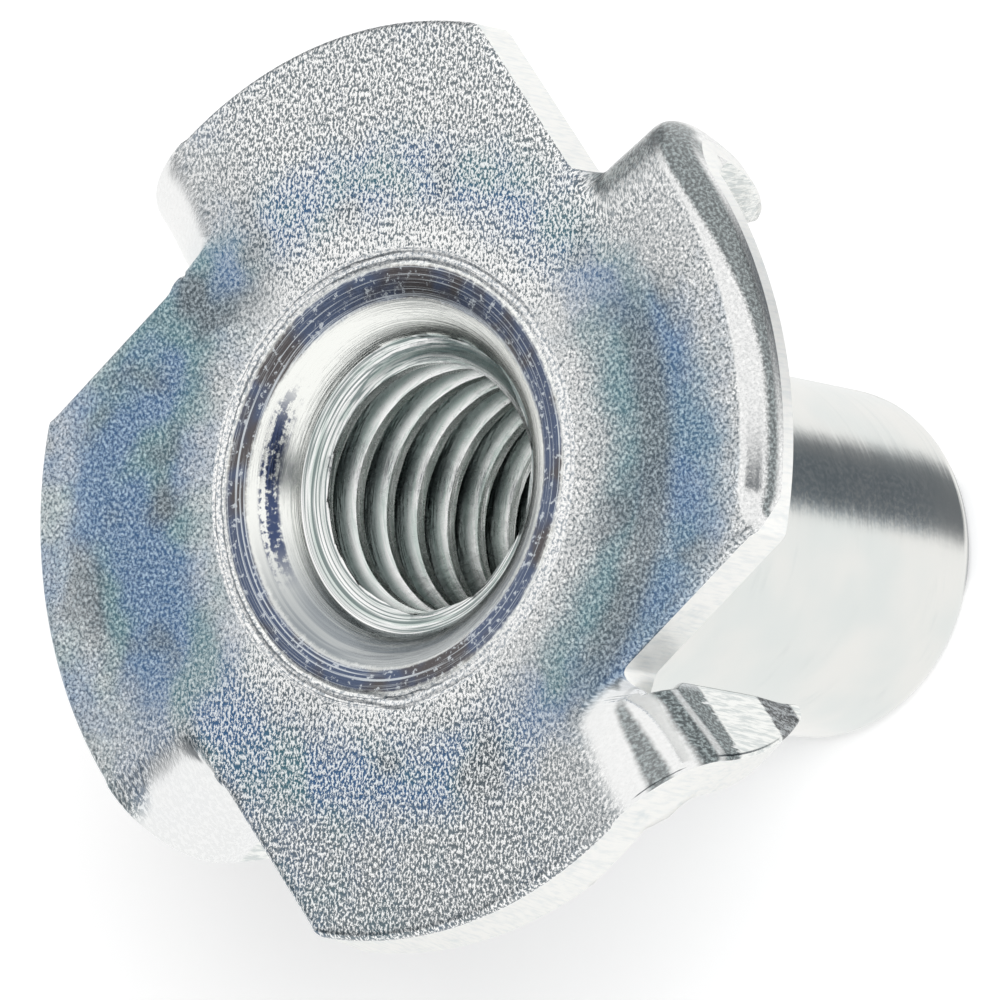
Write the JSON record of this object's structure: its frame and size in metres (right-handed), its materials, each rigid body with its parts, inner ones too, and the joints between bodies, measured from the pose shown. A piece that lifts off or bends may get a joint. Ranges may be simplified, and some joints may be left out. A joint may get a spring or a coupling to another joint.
{
  "type": "tee nut",
  "caption": "Pronged tee nut: round steel flange with folded-down prongs and an internally threaded barrel, driven into timber to take a machine screw.",
  "frame": {"origin": "centre of the barrel's open end, on the surface that the nut stands on", "axes": "+Z along the bore, from the barrel's open end up to the flange's face; +X square to one of the slits"},
  "size_m": [0.019, 0.019, 0.015],
  "materials": {
    "zinc_plate": "bright zinc plate with a faint blue passivation, fine grain on the flange"
  },
  "bodies": {
    "root": {"tee_nut": "zinc_plate"}
  },
  "joints": []
}
